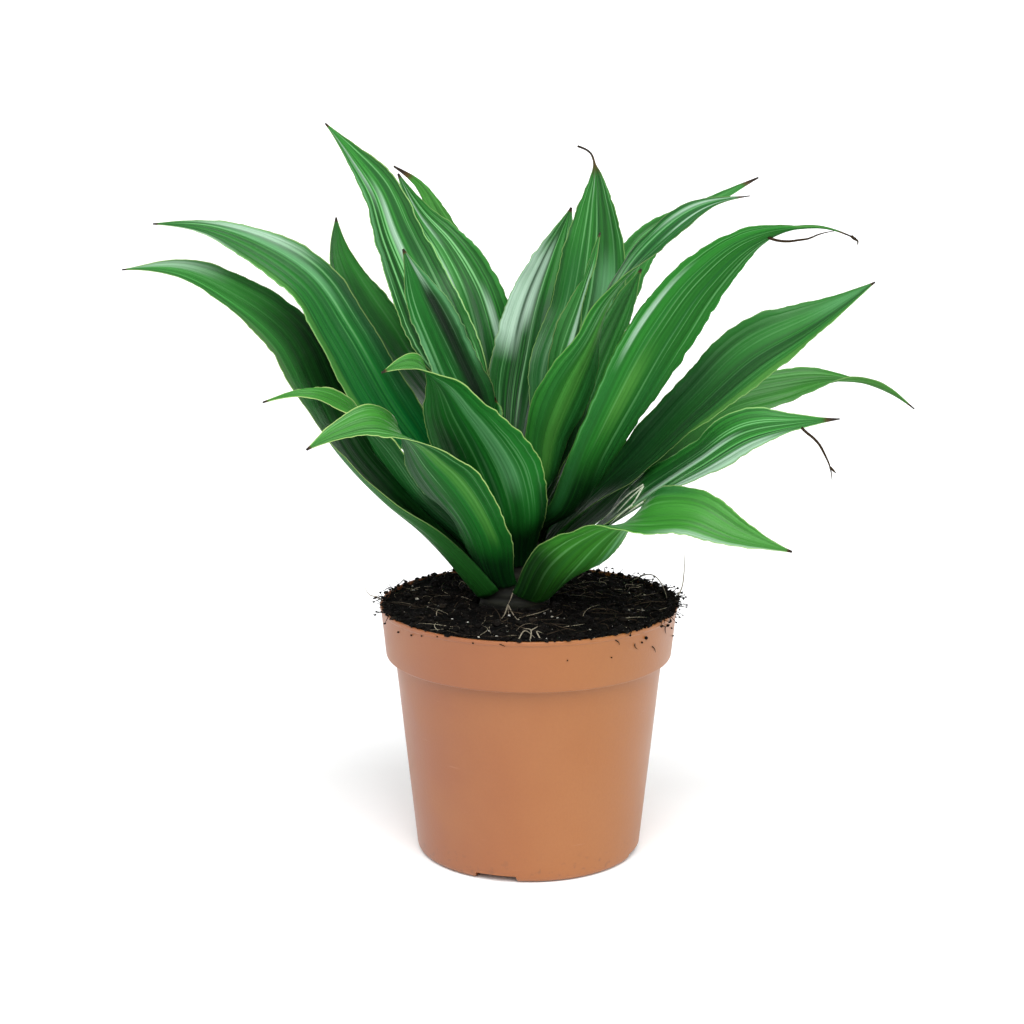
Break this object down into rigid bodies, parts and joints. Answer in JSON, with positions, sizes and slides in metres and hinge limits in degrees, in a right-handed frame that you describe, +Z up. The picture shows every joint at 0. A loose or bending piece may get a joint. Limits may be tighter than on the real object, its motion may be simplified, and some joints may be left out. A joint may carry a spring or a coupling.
{
  "type": "potted dracaena",
  "caption": "Potted dracaena: a rosette of long, arching, strap-shaped green leaves on a short stem in soil, in a plain round terracotta-coloured plastic nursery pot.",
  "frame": {"origin": "on the surface that the pot stands on, at the middle of the underside of the whole plant's bounding box, which is also the pot's axis", "axes": "+Z up, +X to the right along the rosette's widest spread, -Y towards the front, the side that the picture shows"},
  "size_m": [0.3467, 0.19, 0.3164],
  "materials": {
    "pot": "satin, terracotta-coloured",
    "soil": "rough, crumbly potting mix",
    "stem": "dull, fibrous",
    "leaf": "waxy satin, deep green"
  },
  "bodies": {
    "root": {"pot": "pot", "soil": "soil", "stem": "stem", "leaf_left_low": "leaf", "leaf_curl_left": "leaf", "leaf_curl_middle": "leaf", "leaf_curl_front": "leaf", "leaf_left_high": "leaf", "leaf_left_rear": "leaf", "leaf_left_inner": "leaf", "leaf_left_tall": "leaf", "leaf_rear_left": "leaf", "leaf_rear_arch": "leaf", "leaf_centre_wide": "leaf", "leaf_centre_tall": "leaf", "leaf_centre_strip": "leaf", "leaf_right_rear": "leaf", "leaf_right_short": "leaf", "leaf_right_twist": "leaf", "leaf_right_long": "leaf", "leaf_right_broad": "leaf", "leaf_right_arch": "leaf", "leaf_right_low": "leaf", "leaf_front_right": "leaf", "leaf_back_low": "leaf", "leaf_back_left": "leaf", "leaf_back_right": "leaf", "leaf_back_high": "leaf", "leaf_back_high_right": "leaf", "leaf_bud": "leaf"}
  },
  "joints": []
}
